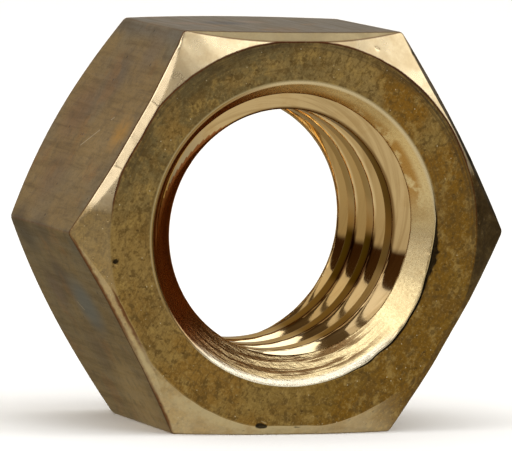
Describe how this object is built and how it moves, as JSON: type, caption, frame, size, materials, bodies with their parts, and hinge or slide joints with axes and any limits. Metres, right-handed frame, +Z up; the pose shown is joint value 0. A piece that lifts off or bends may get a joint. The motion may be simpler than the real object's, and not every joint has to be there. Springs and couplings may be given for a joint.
{
  "type": "hex nut",
  "caption": "Machined brass hex nut, chamfered on both ends, with a countersunk right-hand threaded hole right through it.",
  "frame": {"origin": "on the thread's axis, halfway through the nut's thickness, which is also the centre of its bounding box", "axes": "+Y along the thread's axis, from the front bearing face to the back one; +X to the right, through a corner of the hexagon; +Z up, square to the top flat, so the nut stands on its bottom flat"},
  "size_m": [0.0128, 0.0064, 0.0112],
  "materials": {
    "brass": "machined brass, lightly tarnished on the end faces and flats, bright in the chamfers, countersinks and thread"
  },
  "bodies": {
    "root": {"nut_body": "brass"}
  },
  "joints": []
}
